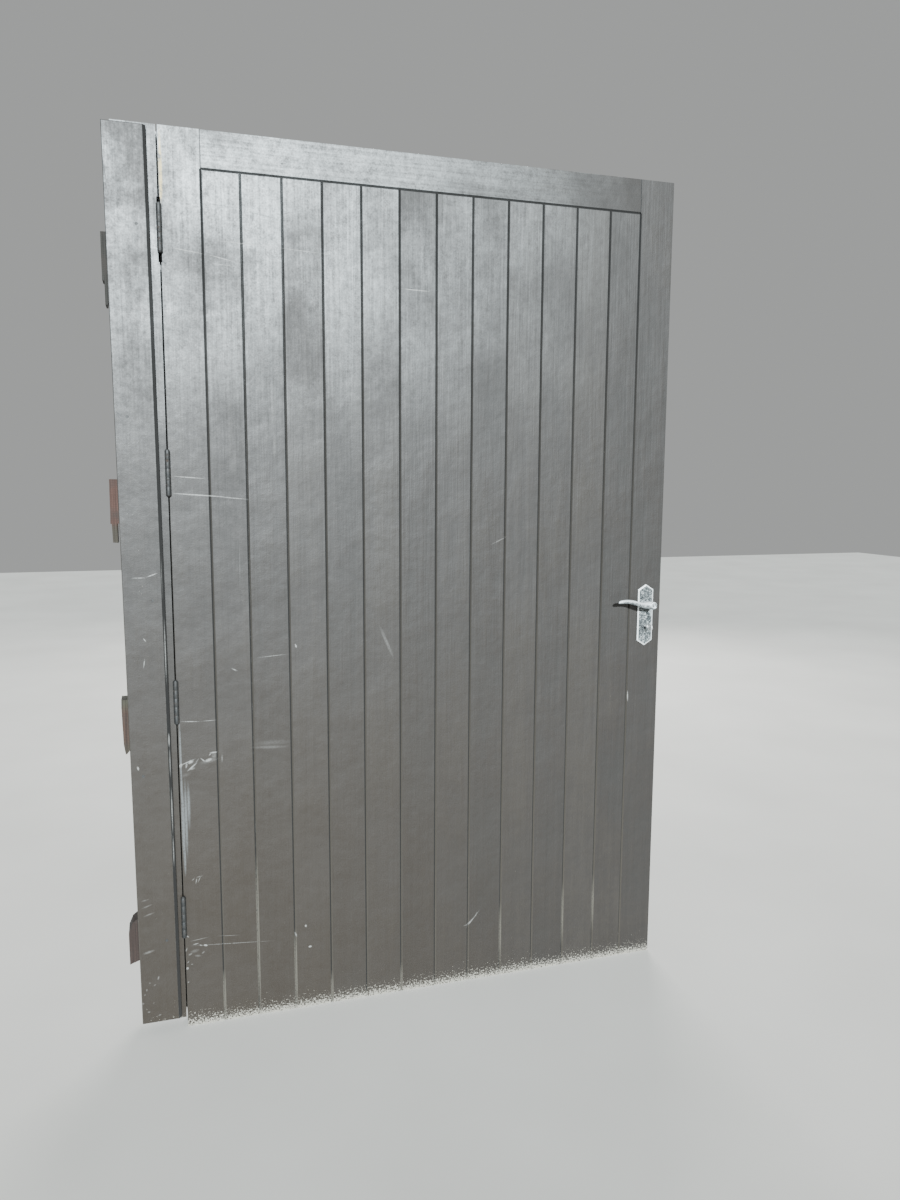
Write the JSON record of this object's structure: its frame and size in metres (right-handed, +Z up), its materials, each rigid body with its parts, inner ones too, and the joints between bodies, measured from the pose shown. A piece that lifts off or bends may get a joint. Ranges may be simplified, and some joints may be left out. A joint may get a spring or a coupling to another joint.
{
  "type": "wooden garage door leaf on its hanging post",
  "caption": "Side-hung framed, ledged and braced matchboard garage door leaf, hung on its rebated post with butt hinges, with a mortice lock and lever handles.",
  "frame": {"origin": "middle of the leaf's thickness, under the middle of the whole width, at the leaf's bottom edge", "axes": "+X from the hinge side to the lock side, +Y from the boarded front face into the doorway, +Z up"},
  "size_m": [1.4344, 0.144, 2.134],
  "materials": {
    "painted_timber": "dark slate grey satin paint over softwood",
    "bare_timber": "unpainted, weathered",
    "hinge_steel": "painted over, rusting",
    "galvanised_iron": "bright hammered galvanised iron",
    "lock_steel": "plain steel",
    "lock_brass": "worn brass"
  },
  "bodies": {
    "post": {"hanging_jamb": "painted_timber", "facing_board": "painted_timber", "facing_nails": "hinge_steel", "packer_1": "bare_timber", "packer_2": "bare_timber", "packer_3": "bare_timber", "packer_4": "bare_timber", "post_hinge_1": "hinge_steel", "post_hinge_2": "hinge_steel", "post_hinge_3": "hinge_steel", "post_hinge_4": "hinge_steel", "hinge_pin_1": "hinge_steel", "hinge_pin_2": "hinge_steel", "hinge_pin_3": "hinge_steel", "hinge_pin_4": "hinge_steel", "post_hinge_screws": "hinge_steel"},
    "leaf": {"hanging_stile": "painted_timber", "lock_stile": "painted_timber", "top_rail": "painted_timber", "middle_ledge": "painted_timber", "bottom_ledge": "painted_timber", "tenon_wedges": "bare_timber", "lower_brace": "painted_timber", "upper_brace": "painted_timber", "board_01": "painted_timber", "board_02": "painted_timber", "board_03": "painted_timber", "board_04": "painted_timber", "board_05": "painted_timber", "board_06": "painted_timber", "board_07": "painted_timber", "board_08": "painted_timber", "board_09": "painted_timber", "board_10": "painted_timber", "board_11": "painted_timber", "board_12": "painted_timber", "leaf_hinge_1": "hinge_steel", "leaf_hinge_2": "hinge_steel", "leaf_hinge_3": "hinge_steel", "leaf_hinge_4": "hinge_steel", "leaf_hinge_screws": "hinge_steel", "lock_case": "lock_steel", "lock_cap": "lock_steel", "lock_forend": "lock_brass", "forend_screws": "lock_brass", "outside_plate": "galvanised_iron", "inside_plate": "galvanised_iron", "plate_screws": "galvanised_iron"},
    "handle": {"outside_lever": "galvanised_iron", "inside_lever": "galvanised_iron", "lever_grub_screw": "lock_steel", "spindle": "lock_steel", "follower": "lock_steel"},
    "latch": {"latch_bolt": "lock_brass"},
    "key": {"key": "lock_steel"},
    "deadbolt": {"deadbolt": "lock_brass"}
  },
  "joints": [
    {"name": "leaf_swing", "type": "hinge", "parent": "post", "child": "leaf", "pos_m": [-0.58675, -0.029, 1.067], "axis": [0, 0, -1], "range_deg": [0, 120]},
    {"name": "handle_turn", "type": "hinge", "parent": "leaf", "child": "handle", "pos_m": [0.66175, 0, 1.024], "axis": [0, -1, 0], "range_deg": [0, 40], "stiffness_Nm_per_rad": 1.2, "springref_deg": -20.05},
    {"name": "latch_slide", "type": "slide", "parent": "leaf", "child": "latch", "axis": [-1, 0, 0], "range_m": [0, 0.00978]},
    {"name": "key_turn", "type": "hinge", "parent": "leaf", "child": "key", "pos_m": [0.66175, 0, 0.963], "axis": [0, 1, 0], "range_deg": [0, 360]},
    {"name": "deadbolt_slide", "type": "slide", "parent": "leaf", "child": "deadbolt", "axis": [1, 0, 0], "range_m": [0, 0.014]}
  ],
  "couplings": [
    {"joint": "latch_slide", "follows": "handle_turn", "m_per_rad": 0.014},
    {"joint": "key_turn", "follows": "deadbolt_slide", "rad_per_m": 448.8}
  ]
}
